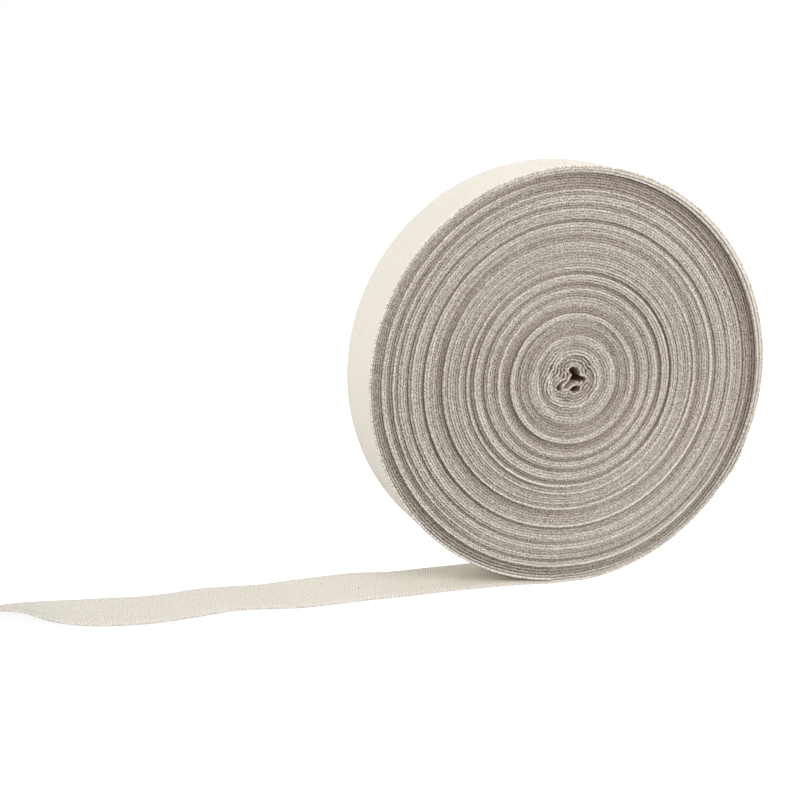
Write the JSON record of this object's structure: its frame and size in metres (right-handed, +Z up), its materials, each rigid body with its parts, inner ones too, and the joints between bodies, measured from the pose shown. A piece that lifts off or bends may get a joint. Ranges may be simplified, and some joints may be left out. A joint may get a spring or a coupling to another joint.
{
  "type": "roll of cotton herringbone tape",
  "caption": "Flat coreless roll of natural cotton herringbone tape, standing on its rim with its loose end lying along the surface.",
  "frame": {"origin": "on the surface the roll rests on, at the middle of its flat spot, straight below the roll's axis", "axes": "+Z up; +Y along the roll's axis, away from its front face; the loose end runs towards -X"},
  "size_m": [0.2987, 0.0391, 0.159],
  "materials": {
    "tape_edges": "matte woven selvedges, greige",
    "tape_face": "matte herringbone weave, natural cream"
  },
  "bodies": {
    "root": {"wound_roll": "tape_edges", "loose_end": "tape_face"}
  },
  "joints": []
}
